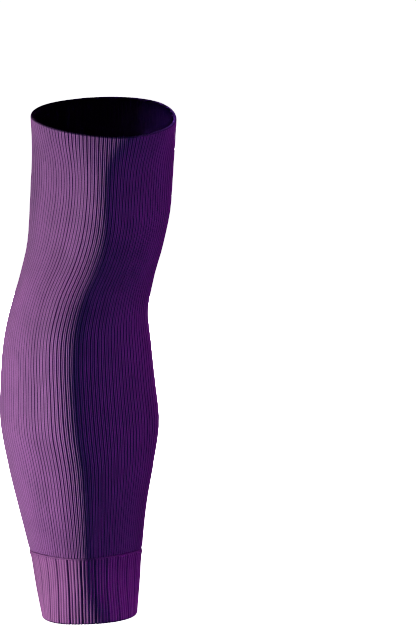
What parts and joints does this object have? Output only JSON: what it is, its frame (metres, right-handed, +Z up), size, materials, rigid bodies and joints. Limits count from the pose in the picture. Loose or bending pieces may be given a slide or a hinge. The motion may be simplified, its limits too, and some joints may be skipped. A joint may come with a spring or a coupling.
{
  "type": "leg sleeve",
  "caption": "Ribbed knit leg sleeve, a long tube shaped to the calf with a broad-ribbed cuff above the ankle, open at both ends for the leg to pass through.",
  "frame": {"origin": "in the hollow at the fullest level of the calf, where the leg fills the sleeve", "axes": "+Z up the leg towards the knee, -Y towards the shin, +X to the right seen from the front"},
  "size_m": [0.1328, 0.133, 0.3886],
  "materials": {
    "tube_knit": "matte purple fine rib knit",
    "cuff_knit": "matte purple broad rib knit"
  },
  "bodies": {
    "root": {"knit_tube": "tube_knit", "ankle_cuff": "cuff_knit"}
  },
  "joints": []
}
